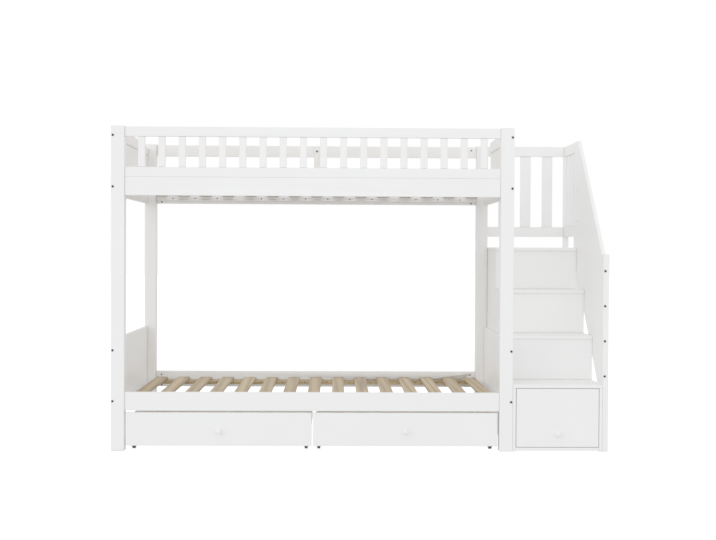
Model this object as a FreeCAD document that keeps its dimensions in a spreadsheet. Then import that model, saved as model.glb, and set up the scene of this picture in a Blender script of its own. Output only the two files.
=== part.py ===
"""Staircase bunk bed with two rolling drawers and one stair drawer, in millimetres.

The layout frame starts at the bed's left, front, bottom corner: X runs along the bed to the
stairs, Y runs back from the posts' front faces and Z runs up from the floor.
Every piece is then moved so that the origin is the bottom centre of the whole bed.
"""
import FreeCAD, Part
import Sketcher
import os
import re

Vector = FreeCAD.Vector
Rotation = FreeCAD.Rotation

# Driving dimensions: alias, value and what it is
DRIVING = [
    ("bed_length", 2020, "over the outer faces of the bed posts"),
    ("bed_depth", 1080, "over the front and rear faces of the bed posts"),
    ("post_height", 1630, "bed posts, also the top of the landing guards"),
    ("post_width", 67, "bed post along the bed"),
    ("post_depth", 55, "bed post from front to back"),
    ("panel_thickness", 18, "end panels of the bed"),
    ("cap_thickness", 22, "arched caps on the upper end panels"),
    ("rail_thickness", 22, "side rails, guard rails and guard boards"),
    ("rail_setback", 8, "rail face behind the post face"),
    ("side_rail_height", 93, "rails that carry the slats"),
    ("lower_rail_bottom", 202, "lower bunk's rails above the floor"),
    ("guard_rail_height", 49, "front guard's top and bottom rails"),
    ("guard_opening", 153, "between the front guard's rails"),
    ("guard_drop", 4, "front guard's top edge below the post tops"),
    ("baluster_width", 35, "front guard's balusters"),
    ("baluster_thickness", 18, "balusters and rear upright"),
    ("baluster_count", 18, "balusters in the front guard"),
    ("rear_board_height", 65, "board of the rear guard"),
    ("upright_gap", 4, "rear upright's foot above the slats"),
    ("lower_panel_height", 359, "lower end panels"),
    ("cap_drop", 64, "joint of upper end panel and cap below the post tops"),
    ("cap_end_height", 36, "cap where it meets the posts"),
    ("cap_rise", 25, "crown of the arched cap"),
    ("access_width", 250, "opening from the landing into the upper bunk"),
    ("cap_corner", 30, "rounded free corner of the right cap"),
    ("slat_count", 15, "slats in each bunk"),
    ("slat_width", 65, "slat along the bed"),
    ("slat_thickness", 14, "slat"),
    ("slat_end_gap", 1, "post to the first slat"),
    ("slat_play", 0.5, "slat end to the rail"),
    ("ledger_width", 28, "ledger from front to back"),
    ("ledger_height", 26, "ledger"),
    ("ledger_lift", 17, "ledger above the rail's bottom edge"),
    ("ledger_end_gap", 2, "post to the ledger's end"),
    ("screw_head_radius", 4, "wood screws"),
    ("screw_head_height", 2.2, "wood screws"),
    ("screw_radius", 2, "wood screws"),
    ("slat_screw_length", 30, "screws down through the slats"),
    ("ledger_screw_length", 40, "screws through the ledgers into the rails"),
    ("ledger_screw_count", 12, "screws in each ledger"),
    ("fastener_gap", 0.3, "room around every fastener in its hole"),
    ("bolt_head_radius", 6, "connector bolts"),
    ("bolt_head_height", 2.5, "connector bolts"),
    ("bolt_radius", 3, "connector bolts"),
    ("socket_radius", 2.3, "corners of the hexagon sockets in the bolt heads"),
    ("socket_depth", 2, "hexagon sockets"),
    ("bolt_sink", 3.5, "depth of a sunk bolt head's seat"),
    ("panel_bolt_reach", 40, "panel bolt's length inside the panel"),
    ("panel_bolt_low", 48, "lower bolt above a lower end panel's bottom edge"),
    ("panel_bolt_high", 55.5, "upper bolt below a lower end panel's top edge"),
    ("cap_bolt_lift", 16, "bolt above the cap's bottom edge"),
    ("upper_bolt_lift", 43, "bolt above the upper end panel's bottom edge"),
    ("rail_bolt_low", 10, "lower rail bolt above the rail's bottom edge"),
    ("rail_bolt_high", 21.5, "upper rail bolt below the rail's top edge"),
    ("top_rail_bolt_drop", 25, "guard rail bolts below the post tops"),
    ("rail_bolt_reach", 42, "rail bolt's length inside the rail"),
    ("nut_radius", 5, "barrel nuts"),
    ("nut_distance", 30, "barrel nut from the rail's end"),
    ("nut_cover", 4, "wood left between a barrel nut and the outer face"),
    ("upright_bolt_length", 32, "bolts through the rear upright"),
    ("upright_bolt_edge", 12, "lower upright bolt above the upright's foot"),
    ("stair_width", 454, "stair carcass along the bed"),
    ("stair_board", 16, "stair sides, risers and base board"),
    ("back_thickness", 9, "stair back panel"),
    ("base_lift", 5, "stair base board above the floor"),
    ("tread_thickness", 18, "treads and landing"),
    ("nosing", 8, "tread edge in front of its riser"),
    ("first_step_height", 339, "top of the first tread"),
    ("landing_drop", 250, "landing below the upper bunk's rails"),
    ("step_count", 4, "steps, the landing included"),
    ("first_step_depth", 247, "front of the stairs to the second step's riser"),
    ("landing_depth", 411, "last riser to the back of the stairs"),
    ("stair_post_width", 29, "stair posts along the bed"),
    ("stair_post_depth", 40, "stair post from front to back"),
    ("guard_thickness", 18, "sloping guard panel"),
    ("guard_lift", 659, "guard's low end and front stair post above the first tread"),
    ("guard_top_flat", 65, "level stretch at the guard's top end"),
    ("guard_low_flat", 90, "level stretch at the guard's bottom end"),
    ("side_guard_span", 285, "landing's side guard between its posts"),
    ("stair_bolt_low", 43, "lowest bolt of the front stair post above the first tread"),
    ("stair_bolt_high", 85, "highest bolt of the front stair post below its top"),
    ("stair_bolt_count", 4, "bolts in the front stair post"),
    ("middle_bolt_drop", 277, "upper bolt of the middle stair post below its top"),
    ("middle_bolt_pitch", 173, "between the bolts in the middle stair post"),
    ("middle_nut_distance", 60, "barrel nut from the guard panel's rear edge"),
    ("link_bolt_cover", 4, "wood left between a link bolt's end and the stair post's outer face"),
    ("link_bolt_drop", 40, "higher link bolts below the lower bunk's rails"),
    ("link_bolt_pitch", 60, "between the link bolts of a post"),
    ("landing_rail_height", 58, "landing guard rails"),
    ("landing_rail_lift", 65, "landing to the guard's bottom rail"),
    ("landing_slat_width", 61, "landing guard slats"),
    ("landing_slat_thickness", 16, "landing guard slats"),
    ("rear_slat_count", 3, "slats in the landing's rear guard"),
    ("side_slat_count", 2, "slats in the landing's side guard"),
    ("front_thickness", 18, "drawer fronts"),
    ("box_board", 12, "drawer sides and backs"),
    ("box_bottom", 9, "drawer bottoms"),
    ("drawer_gap", 8, "between the under-bed drawer fronts"),
    ("drawer_side_gap", 9, "under-bed drawer front to the post beside it"),
    ("drawer_top_gap", 9, "under-bed drawer front to the rail above"),
    ("drawer_lift", 26, "under-bed drawer front above the floor"),
    ("drawer_box_depth", 880, "under-bed drawer box from front to back"),
    ("drawer_box_drop", 30, "under-bed drawer box's top below the rails"),
    ("drawer_box_inset", 12, "drawer box behind the front's side edge"),
    ("knob_lift", 74, "under-bed drawer knobs above the front's bottom edge"),
    ("wheel_radius", 20, "castor wheels"),
    ("wheel_width", 16, "castor wheels"),
    ("wheel_side_gap", 1, "wheel to the castor's cheek"),
    ("wheel_top_gap", 4, "wheel to the castor's plate"),
    ("castor_sheet", 2.5, "castor plate and cheeks"),
    ("castor_length", 40, "castor plate from front to back"),
    ("castor_plate_width", 28, "castor plate along the bed"),
    ("castor_cheek_length", 24, "castor cheeks from front to back"),
    ("castor_cheek_drop", 8, "cheek below the axle"),
    ("castor_inset", 28, "wheel's middle from the front's side edge"),
    ("castor_front", 60, "front axle behind the drawer front"),
    ("castor_rear", 60, "rear axle from the box's rear edge"),
    ("axle_radius", 3, "castor axle"),
    ("axle_play", 0.06, "axle in the wheel's bore"),
    ("stair_drawer_gap", 2.5, "around the stair drawer's front"),
    ("stair_box_depth", 560, "stair drawer box from front to back"),
    ("stair_box_drop", 31, "stair drawer box's top below the first tread"),
    ("stair_knob_lift", 68.5, "stair drawer's knob above the front's bottom edge"),
    ("knob_depth", 26, "knob in front of the drawer front"),
    ("knob_radius", 16, "knob's head"),
    ("knob_head_depth", 18, "knob's head from front to back"),
    ("knob_neck_radius", 8, "knob's neck"),
]

doc = FreeCAD.newDocument("bunk_bed")
sheet = doc.addObject("Spreadsheet::Sheet", "Dims")
for row, (alias, value, meaning) in enumerate(DRIVING, start=1):
    sheet.set("A%d" % row, meaning)
    sheet.set("B%d" % row, str(value))
    sheet.setAlias("B%d" % row, alias)
doc.recompute()
ALIASES = {alias for alias, value, meaning in DRIVING}

NODES = {}
# Points closer than this are the same point
TOUCH = 0.01


def sheet_terms(expression):
    """Name the sheet before each of its aliases in an expression."""
    def term(match):
        word = match.group(0)
        return "Dims." + word if word in ALIASES else word
    return re.sub(r"[a-z][a-z_0-9]*", term, str(expression))


def count_of(alias):
    """A whole number from the sheet, for loops."""
    return int(round(sheet.get(alias)))


def add(first, *rest):
    return "(%s)" % " + ".join([str(first)] + [str(term) for term in rest])


def less(first, *rest):
    return "(%s)" % " - ".join([str(first)] + [str(term) for term in rest])


def half(term):
    return "(%s / 2)" % term


def middle(first, second):
    return half(add(first, second))


# Places that follow from the driving dimensions, in the layout frame
LEFT_INNER = "post_width"
RIGHT_INNER = less("bed_length", "post_width")
INNER_SPAN = less("bed_length", "2 * post_width")
REAR_POST = less("bed_depth", "post_depth")
PANEL_SPAN = less("bed_depth", "2 * post_depth")
FRONT_RAIL = "rail_setback"
FRONT_RAIL_BACK = add("rail_setback", "rail_thickness")
REAR_RAIL = less("bed_depth", "rail_setback", "rail_thickness")
FRONT_RAIL_MIDDLE = add("rail_setback", half("rail_thickness"))
REAR_RAIL_MIDDLE = less("bed_depth", "rail_setback", half("rail_thickness"))
GUARD_TOP = less("post_height", "guard_drop")
GUARD_TOP_RAIL = less(GUARD_TOP, "guard_rail_height")
GUARD_BOTTOM_RAIL_TOP = less(GUARD_TOP_RAIL, "guard_opening")
UPPER_RAIL_TOP = less(GUARD_BOTTOM_RAIL_TOP, "guard_rail_height")
UPPER_RAIL_BOTTOM = less(UPPER_RAIL_TOP, "side_rail_height")
CAP_BOTTOM = less("post_height", "cap_drop")
ACCESS_EDGE = less(REAR_POST, "access_width")
STAIR_LEFT = "bed_length"
STAIR_RIGHT = add("bed_length", "stair_width")
TOTAL_LENGTH = add("bed_length", "stair_width", "stair_post_width")
STAIR_INNER = add(STAIR_LEFT, "stair_board")
STAIR_RIGHT_INNER = less(STAIR_RIGHT, "stair_board")
BASE_TOP = add("base_lift", "stair_board")
LANDING_TOP = less(UPPER_RAIL_BOTTOM, "landing_drop")
LANDING_UNDER = less(LANDING_TOP, "tread_thickness")
STEP_RISE = "(%s / (step_count - 1))" % less(LANDING_TOP, "first_step_height")
STEP_RUN = "(%s / (step_count - 2))" % less("bed_depth", "landing_depth", "first_step_depth")
STAIR_REAR_POST = less("bed_depth", "stair_post_depth")
MIDDLE_POST_BACK = less(STAIR_REAR_POST, "side_guard_span")
MIDDLE_POST = less(MIDDLE_POST_BACK, "stair_post_depth")
DRAWER_FRONT_BACK = add("rail_setback", "front_thickness")
DRAWER_WIDTH = half(less(INNER_SPAN, "2 * drawer_side_gap", "drawer_gap"))
AXLE_HEIGHT = "wheel_radius"
CASTOR_TOP = add("2 * wheel_radius", "wheel_top_gap", "castor_sheet")

# The origin lies below the middle of the whole bed, from the knobs to the rear bolt heads
ORIGIN_X = half(TOTAL_LENGTH)
ORIGIN_Y = half(less(add("bed_depth", "bolt_head_height"), "knob_depth"))

TURN = {
    "+X": Rotation(Vector(0, 1, 0), 90),
    "-X": Rotation(Vector(0, 1, 0), -90),
    "+Y": Rotation(Vector(1, 0, 0), -90),
    "-Y": Rotation(Vector(1, 0, 0), 90),
    "+Z": Rotation(),
    "-Z": Rotation(Vector(1, 0, 0), 180),
}


def bind(obj, **expressions):
    for name, expression in expressions.items():
        obj.setExpression(name, sheet_terms(expression))
    return obj


def place(obj, point, direction="+Z"):
    """Put an object at a layout point, with its own Z axis along a direction."""
    obj.Placement = FreeCAD.Placement(Vector(), TURN[direction])
    obj.setExpression("Placement.Base.x", sheet_terms(less(point[0], ORIGIN_X)))
    obj.setExpression("Placement.Base.y", sheet_terms(less(point[1], ORIGIN_Y)))
    obj.setExpression("Placement.Base.z", sheet_terms(point[2]))
    return obj


def moved(point, direction, distance):
    """A layout point shifted along a direction."""
    axis = "XYZ".index(direction[1])
    shifted = list(point)
    shifted[axis] = "(%s %s %s)" % (point[axis], direction[0], distance)
    return shifted


def opposite(direction):
    return {"+": "-", "-": "+"}[direction[0]] + direction[1]


def block(name, corner, size):
    """A board from its lowest corner and its size along X, Y and Z."""
    box = doc.addObject("Part::Box", name)
    bind(box, Length=size[0], Width=size[1], Height=size[2])
    return place(box, corner)


def rod(name, start, direction, radius, length):
    cylinder = doc.addObject("Part::Cylinder", name)
    bind(cylinder, Radius=radius, Height=length)
    return place(cylinder, start, direction)


def hexagon(name, start, direction, radius, length):
    prism = doc.addObject("Part::Prism", name)
    prism.Polygon = 6
    bind(prism, Circumradius=radius, Height=length)
    return place(prism, start, direction)


def group(name, members):
    """Separate solids kept as one object."""
    compound = doc.addObject("Part::Compound", name)
    compound.Links = members
    return compound


def fused(name, members):
    fuse = doc.addObject("Part::MultiFuse", name)
    fuse.Shapes = members
    return fuse


def cut(name, base, tools):
    """A base object less all of its tools."""
    result = doc.addObject("Part::Cut", name)
    result.Base = base
    result.Tool = tools[0] if len(tools) == 1 else group(name + "_tools", tools)
    return result


def node(name, obj):
    """Record an object as one named sub-part."""
    obj.Label = name
    NODES[name] = obj
    return obj


def outline_board(name, points, start, thickness, arc=None):
    """A board cut to an outline in Y and Z, as thick as given along X.

    The last side, back to the first point, may be an arc through a given point. The points of such
    an outline run counter-clockwise.
    """
    body = doc.addObject("PartDesign::Body", name)
    planes = {plane.Role: plane for plane in body.Origin.OriginFeatures}
    sketch = body.newObject("Sketcher::SketchObject", name + "_outline")
    sketch.AttachmentSupport = (planes["YZ_Plane"], [""])
    sketch.MapMode = "FlatFace"
    corners = [sketch_point(point) for point in points]
    sides = len(points)
    for index, corner in enumerate(corners):
        following = corners[(index + 1) % sides]
        side = Part.LineSegment(corner, following)
        if arc and index == sides - 1:
            side = Part.Arc(corner, sketch_point(arc), following)
        sketch.addGeometry(side, False)
    for index, point in enumerate(points):
        previous = (index - 1) % sides
        sketch.addConstraint(Sketcher.Constraint("Coincident", previous, 2, index, 1))
        fix_point(sketch, index, 1, point)
    if arc:
        crown = sketch.addGeometry(Part.Point(sketch_point(arc)), True)
        sketch.addConstraint(Sketcher.Constraint("PointOnObject", crown, 1, sides - 1))
        fix_point(sketch, crown, 1, arc)
    pad = body.newObject("PartDesign::Pad", name + "_pad")
    pad.Profile = sketch
    bind(pad, Length=thickness)
    return place(body, (start, "0", "0"))


def number(expression):
    """The present value of an expression of sheet aliases."""
    return float(sheet.evalExpression(sheet_terms(expression)))


def sketch_point(point):
    """The present place of a sketch point given by two expressions."""
    return Vector(number(point[0]), number(point[1]), 0)


def fix_point(sketch, geometry, end, point):
    """Tie one end of a sketch element to the place that two expressions give."""
    for kind, axis, term in (("DistanceX", -2, point[0]), ("DistanceY", -1, point[1])):
        if term == "0":
            sketch.addConstraint(Sketcher.Constraint("PointOnObject", geometry, end, axis))
            continue
        rule = Sketcher.Constraint(kind, -1, 1, geometry, end, number(term))
        rule_number = sketch.addConstraint(rule)
        sketch.setExpression("Constraints[%d]" % rule_number, sheet_terms(term))


# Fasteners: each makes its own solid and the hole that it needs
class Fasteners:
    """Solids and holes of one kind of fastener, collected as they are placed."""

    def __init__(self, name):
        self.name = name
        self.solids = []

    def next_name(self, kind):
        return "%s_%s_%d" % (self.name, kind, len(self.solids))

    def headed(self, seat, direction, length, head_radius, head_height, radius, sink):
        """A headed fastener on a face, its head sunk below the face or standing on it."""
        seat = moved(seat, direction, sink)
        outwards = opposite(direction)
        shank = rod(self.next_name("shank"), seat, direction, radius, length)
        head = rod(self.next_name("head"), seat, outwards, head_radius, head_height)
        hole = rod(self.next_name("hole"), seat, direction, add(radius, "fastener_gap"),
                   add(length, "fastener_gap"))
        holes = [hole]
        if sink != "0":
            holes.append(rod(self.next_name("seat"), seat, outwards,
                             add(head_radius, "fastener_gap"), sink))
        return fused(self.next_name("plain"), [head, shank]), holes

    def bolt(self, seat, direction, length, sink="0"):
        """A connector bolt with a hexagon socket in its head."""
        plain, holes = self.headed(seat, direction, length, "bolt_head_radius", "bolt_head_height",
                                   "bolt_radius", sink)
        mouth = moved(moved(seat, direction, sink), opposite(direction), "bolt_head_height")
        socket = hexagon(self.next_name("socket"), mouth, direction, "socket_radius",
                         "socket_depth")
        self.solids.append(cut(self.next_name("solid"), plain, [socket]))
        return holes

    def screw(self, seat, direction, length):
        plain, holes = self.headed(seat, direction, length, "screw_head_radius",
                                   "screw_head_height", "screw_radius", "screw_head_height")
        self.solids.append(plain)
        return holes

    def barrel_nut(self, seat, direction, board, bolt_axis):
        """A cross nut let into the inner face of a board, drilled across for its bolt."""
        length = less(board, "nut_cover")
        plain = rod(self.next_name("blank"), seat, direction, "nut_radius", length)
        across = moved(moved(seat, direction, half(board)), bolt_axis, "2 * nut_radius")
        bore = rod(self.next_name("bore"), across, opposite(bolt_axis),
                   add("bolt_radius", "fastener_gap"), "4 * nut_radius")
        hole = rod(self.next_name("hole"), seat, direction, add("nut_radius", "fastener_gap"),
                   add(length, "fastener_gap"))
        self.solids.append(cut(self.next_name("solid"), plain, [bore]))
        return [hole]


bolts = Fasteners("bolt")
screws = Fasteners("screw")
nuts = Fasteners("nut")

# Bed frame: bolts of the four corners, with the holes each corner needs
LOWER_PANEL_TOP = add("lower_rail_bottom", "lower_panel_height")
PANEL_BOLTS = {
    "lower_panel": [add("lower_rail_bottom", "panel_bolt_low"),
                    less(LOWER_PANEL_TOP, "panel_bolt_high")],
    "upper_panel": [add(UPPER_RAIL_BOTTOM, "upper_bolt_lift")],
    "cap": [add(CAP_BOTTOM, "cap_bolt_lift")],
}
RAIL_BOLTS = {
    "lower_rail": [add("lower_rail_bottom", "rail_bolt_low"),
                   less(add("lower_rail_bottom", "side_rail_height"), "rail_bolt_high")],
    "upper_rail": [add(UPPER_RAIL_BOTTOM, "rail_bolt_low"),
                   less(add(UPPER_RAIL_BOTTOM, "side_rail_height"), "rail_bolt_high")],
    "top_rail": [less("post_height", "top_rail_bolt_drop")],
}
RAIL_BOLT_LENGTH = less(add("post_width", "rail_bolt_reach"), "bolt_sink")


def corner_holes(end, side):
    """Holes of one corner's bolts and nuts, by the piece that they go into through the post."""
    outer = "0" if side == "left" else "bed_length"
    inwards = "+X" if side == "left" else "-X"
    panel_middle = moved((outer, "0", "0"), inwards, half("panel_thickness"))[0]
    nut_place = moved((LEFT_INNER if side == "left" else RIGHT_INNER, "0", "0"), inwards,
                      "nut_distance")[0]
    face = "0" if end == "front" else "bed_depth"
    into_panel = "+Y" if end == "front" else "-Y"
    rail_middle = FRONT_RAIL_MIDDLE if end == "front" else REAR_RAIL_MIDDLE
    rail_inner_face = FRONT_RAIL_BACK if end == "front" else REAR_RAIL
    into_rail = "-Y" if end == "front" else "+Y"
    reaches_cap = end == "front" or side == "left"
    holes = {}
    for piece, heights in PANEL_BOLTS.items():
        holes[piece] = []
        if piece == "cap" and not reaches_cap:
            continue
        for height in heights:
            seat = (panel_middle, face, height)
            holes[piece] += bolts.bolt(seat, into_panel, add("post_depth", "panel_bolt_reach"))
    for piece, heights in RAIL_BOLTS.items():
        holes[piece] = []
        for height in heights:
            holes[piece] += bolts.bolt((outer, rail_middle, height), inwards, RAIL_BOLT_LENGTH,
                                       "bolt_sink")
            holes[piece] += nuts.barrel_nut((nut_place, rail_inner_face, height), into_rail,
                                            "rail_thickness", inwards)
    return holes


CORNERS = {(end, side): corner_holes(end, side)
           for end in ("front", "rear") for side in ("left", "right")}


def end_holes(piece, side):
    """Holes in a piece between the two posts of one end of the bed."""
    return CORNERS["front", side][piece] + CORNERS["rear", side][piece]


def rail_holes(piece, end):
    """Holes in a piece between the two posts of the bed's front or rear."""
    return CORNERS[end, "left"][piece] + CORNERS[end, "right"][piece]


# Places of the slat and ledger screws
LOWER_SLATS = add("lower_rail_bottom", "ledger_lift", "ledger_height")
UPPER_SLATS = add(UPPER_RAIL_BOTTOM, "ledger_lift", "ledger_height")
FRONT_LEDGER = FRONT_RAIL_BACK
REAR_LEDGER = less(REAR_RAIL, "ledger_width")
SLAT_COUNT = count_of("slat_count")
FIRST_SLAT = add("post_width", "slat_end_gap")
SLAT_PITCH = "(%s - 2 * slat_end_gap - slat_width) / (slat_count - 1)" % INNER_SPAN
LEDGER_START = add("post_width", "ledger_end_gap")
LEDGER_LENGTH = less(INNER_SPAN, "2 * ledger_end_gap")


def slat_start(index):
    return add(FIRST_SLAT, "%d * %s" % (index, SLAT_PITCH))


def slat_screw_holes(name, bottom):
    """Screws through both ends of each slat into the ledgers."""
    holes = []
    for index in range(SLAT_COUNT):
        for ledger in (FRONT_LEDGER, REAR_LEDGER):
            seat = (add(slat_start(index), half("slat_width")), add(ledger, half("ledger_width")),
                    add(bottom, "slat_thickness"))
            holes += screws.screw(seat, "-Z", "slat_screw_length")
    return group(name, holes)


def ledger_screw_holes(name, slat_bottom, end):
    """Screws from a ledger's free face into its rail, between the slats."""
    face = add(FRONT_LEDGER, "ledger_width") if end == "front" else REAR_LEDGER
    direction = "-Y" if end == "front" else "+Y"
    height = less(slat_bottom, half("ledger_height"))
    holes = []
    screw_count = count_of("ledger_screw_count")
    for index in range(screw_count):
        gap_index = round((index + 0.5) * (SLAT_COUNT - 1) / screw_count - 0.5)
        along = add(slat_start(gap_index), half(add("slat_width", SLAT_PITCH)))
        holes += screws.screw((along, face, height), direction, "ledger_screw_length")
    return group(name, holes)


SLAT_HOLES = {
    "lower": slat_screw_holes("lower_slat_holes", LOWER_SLATS),
    "upper": slat_screw_holes("upper_slat_holes", UPPER_SLATS),
}
LEDGER_HOLES = {
    (level, end): ledger_screw_holes("%s_%s_ledger_holes" % (level, end), bottom, end)
    for level, bottom in (("lower", LOWER_SLATS), ("upper", UPPER_SLATS))
    for end in ("front", "rear")
}

# Link bolts: stair sides to the bed's right posts and to the stair posts
LINK_TOP = less("lower_rail_bottom", "link_bolt_drop")
LINK_HEIGHTS = [less(LINK_TOP, "link_bolt_pitch"), LINK_TOP]
LINK_LENGTH = less(add("stair_board", "stair_post_width"), "bolt_sink", "link_bolt_cover")
POST_MIDDLES = {
    "front": half("stair_post_depth"),
    "middle": add(MIDDLE_POST, half("stair_post_depth")),
    "rear": add(STAIR_REAR_POST, half("stair_post_depth")),
}


def link_holes(name, post, face, direction):
    """Sunk bolts from inside the stairs through a side board into a post."""
    holes = []
    for height in LINK_HEIGHTS:
        holes += bolts.bolt((face, POST_MIDDLES[post], height), direction, LINK_LENGTH,
                            "bolt_sink")
    return group(name, holes)


BED_LINKS = {post: link_holes("bed_%s_links" % post, post, STAIR_INNER, "-X")
             for post in ("front", "rear")}
STAIR_LINKS = {post: link_holes("stair_%s_links" % post, post, STAIR_RIGHT_INNER, "+X")
               for post in POST_MIDDLES}

# Bed posts
for (end, side), holes in CORNERS.items():
    name = "%s_%s_post" % (end, side)
    corner = ("0" if side == "left" else RIGHT_INNER, "0" if end == "front" else REAR_POST, "0")
    blank = block(name + "_blank", corner, ("post_width", "post_depth", "post_height"))
    tools = [hole for piece_holes in holes.values() for hole in piece_holes]
    if side == "right":
        tools.append(BED_LINKS[end])
    node(name, cut(name, blank, tools))

# Rails that carry the slats
for level, bottom in (("lower", "lower_rail_bottom"), ("upper", UPPER_RAIL_BOTTOM)):
    for end, place_y in (("front", FRONT_RAIL), ("rear", REAR_RAIL)):
        name = "%s_%s_rail" % (level, end)
        blank = block(name + "_blank", (LEFT_INNER, place_y, bottom),
                      (INNER_SPAN, "rail_thickness", "side_rail_height"))
        tools = rail_holes(level + "_rail", end) + [LEDGER_HOLES[level, end]]
        if name != "upper_rear_rail":
            node(name, cut(name, blank, tools))
            continue
        upper_rear_blank = blank
        upper_rear_tools = tools

# Front guard: two rails with balusters between them
BALUSTER_GAP = "(%s - baluster_count * baluster_width) / (baluster_count + 1)" % INNER_SPAN
BALUSTER_PLACE = add("rail_setback", half(less("rail_thickness", "baluster_thickness")))
guard_blank = block("guard_top_rail_blank", (LEFT_INNER, FRONT_RAIL, GUARD_TOP_RAIL),
                    (INNER_SPAN, "rail_thickness", "guard_rail_height"))
node("guard_top_rail", cut("guard_top_rail", guard_blank, rail_holes("top_rail", "front")))
node("guard_bottom_rail", block("guard_bottom_rail", (LEFT_INNER, FRONT_RAIL, UPPER_RAIL_TOP),
                                (INNER_SPAN, "rail_thickness", "guard_rail_height")))
balusters = []
for index in range(count_of("baluster_count")):
    along = add(LEFT_INNER, BALUSTER_GAP, "%d * (baluster_width + %s)" % (index, BALUSTER_GAP))
    balusters.append(block("baluster_%d" % index, (along, BALUSTER_PLACE, GUARD_BOTTOM_RAIL_TOP),
                           ("baluster_width", "baluster_thickness", "guard_opening")))
node("guard_balusters", group("guard_balusters", balusters))

# Rear guard: one board and a middle upright bolted to the board and to the rail
REAR_BOARD_BOTTOM = less(GUARD_TOP, "rear_board_height")
UPRIGHT_START = less(half("bed_length"), half("baluster_width"))
UPRIGHT_FACE = less(REAR_RAIL, "baluster_thickness")
UPRIGHT_FOOT = add(UPPER_SLATS, "slat_thickness", "upright_gap")
upright_holes = []
for height in (add(UPRIGHT_FOOT, "upright_bolt_edge"),
               add(REAR_BOARD_BOTTOM, half("rear_board_height"))):
    upright_holes += bolts.bolt((half("bed_length"), UPRIGHT_FACE, height), "+Y",
                                "upright_bolt_length")
UPRIGHT_HOLES = group("upright_holes", upright_holes)
upright_blank = block("rear_upright_blank", (UPRIGHT_START, UPRIGHT_FACE, UPRIGHT_FOOT),
                      ("baluster_width", "baluster_thickness", less(GUARD_TOP, UPRIGHT_FOOT)))
node("rear_guard_upright", cut("rear_guard_upright", upright_blank, [UPRIGHT_HOLES]))
rear_board_blank = block("rear_board_blank", (LEFT_INNER, REAR_RAIL, REAR_BOARD_BOTTOM),
                         (INNER_SPAN, "rail_thickness", "rear_board_height"))
node("rear_guard_board", cut("rear_guard_board", rear_board_blank,
                             rail_holes("top_rail", "rear") + [UPRIGHT_HOLES]))
node("upper_rear_rail", cut("upper_rear_rail", upper_rear_blank,
                            upper_rear_tools + [UPRIGHT_HOLES]))

# End panels of the lower bunk
for side, start in (("left", "0"), ("right", less("bed_length", "panel_thickness"))):
    name = "lower_%s_end_panel" % side
    blank = block(name + "_blank", (start, "post_depth", "lower_rail_bottom"),
                  ("panel_thickness", PANEL_SPAN, "lower_panel_height"))
    node(name, cut(name, blank, end_holes("lower_panel", side)))

# End panels of the upper bunk: the right one leaves the way in from the landing open
left_panel_blank = block("upper_left_panel_blank", ("0", "post_depth", UPPER_RAIL_BOTTOM),
                         ("panel_thickness", PANEL_SPAN, less(CAP_BOTTOM, UPPER_RAIL_BOTTOM)))
node("upper_left_end_panel", cut("upper_left_end_panel", left_panel_blank,
                                 end_holes("upper_panel", "left")))
right_panel_blank = outline_board("upper_right_panel_blank", [
    ("post_depth", UPPER_RAIL_BOTTOM),
    (REAR_POST, UPPER_RAIL_BOTTOM),
    (REAR_POST, UPPER_RAIL_TOP),
    (ACCESS_EDGE, UPPER_RAIL_TOP),
    (ACCESS_EDGE, CAP_BOTTOM),
    ("post_depth", CAP_BOTTOM),
], less("bed_length", "panel_thickness"), "panel_thickness")
node("upper_right_end_panel", cut("upper_right_end_panel", right_panel_blank,
                                  end_holes("upper_panel", "right")))

# Arched caps on the upper end panels
CAP_END_TOP = add(CAP_BOTTOM, "cap_end_height")
ARCH_RADIUS = "(%s ^ 2 / (8 * cap_rise) + cap_rise / 2)" % PANEL_SPAN
ARCH_CENTRE = less(add(CAP_END_TOP, "cap_rise"), ARCH_RADIUS)


def arch_height(place_y):
    """Height of the arch over a place from front to back."""
    return add(ARCH_CENTRE, "sqrt(%s ^ 2 - (%s - bed_depth / 2) ^ 2)" % (ARCH_RADIUS, place_y))


def arched_cap(name, start, back):
    """A cap from the front post backwards, its top part of one arch over the whole end."""
    crown = middle("post_depth", back)
    return outline_board(name, [
        ("post_depth", CAP_END_TOP),
        ("post_depth", CAP_BOTTOM),
        (back, CAP_BOTTOM),
        (back, arch_height(back)),
    ], start, "cap_thickness", (crown, arch_height(crown)))


left_cap = arched_cap("upper_left_cap", "0", REAR_POST)
node("upper_left_end_cap", cut("upper_left_end_cap", left_cap, end_holes("cap", "left")))
right_cap = arched_cap("upper_right_cap", less("bed_length", "cap_thickness"), ACCESS_EDGE)
drilled_cap = cut("upper_right_cap_drilled", right_cap, end_holes("cap", "right"))
doc.recompute()
rounded_cap = doc.addObject("Part::Fillet", "upper_right_end_cap")
rounded_cap.Base = drilled_cap
cap_edge_y = number(less(ACCESS_EDGE, ORIGIN_Y))
cap_middle_z = number(add(CAP_BOTTOM, half("cap_end_height")))


def is_free_top_edge(edge):
    """The edge along X where the cap's arch meets its free end."""
    ends = [vertex.Point for vertex in edge.Vertexes]
    at_free_end = all(abs(point.y - cap_edge_y) < TOUCH for point in ends)
    return len(ends) == 2 and at_free_end and all(point.z > cap_middle_z for point in ends)


rounded_cap.Edges = [(index, number("cap_corner"), number("cap_corner"))
                     for index, edge in enumerate(drilled_cap.Shape.Edges, start=1)
                     if is_free_top_edge(edge)]
node("upper_right_end_cap", rounded_cap)

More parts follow.
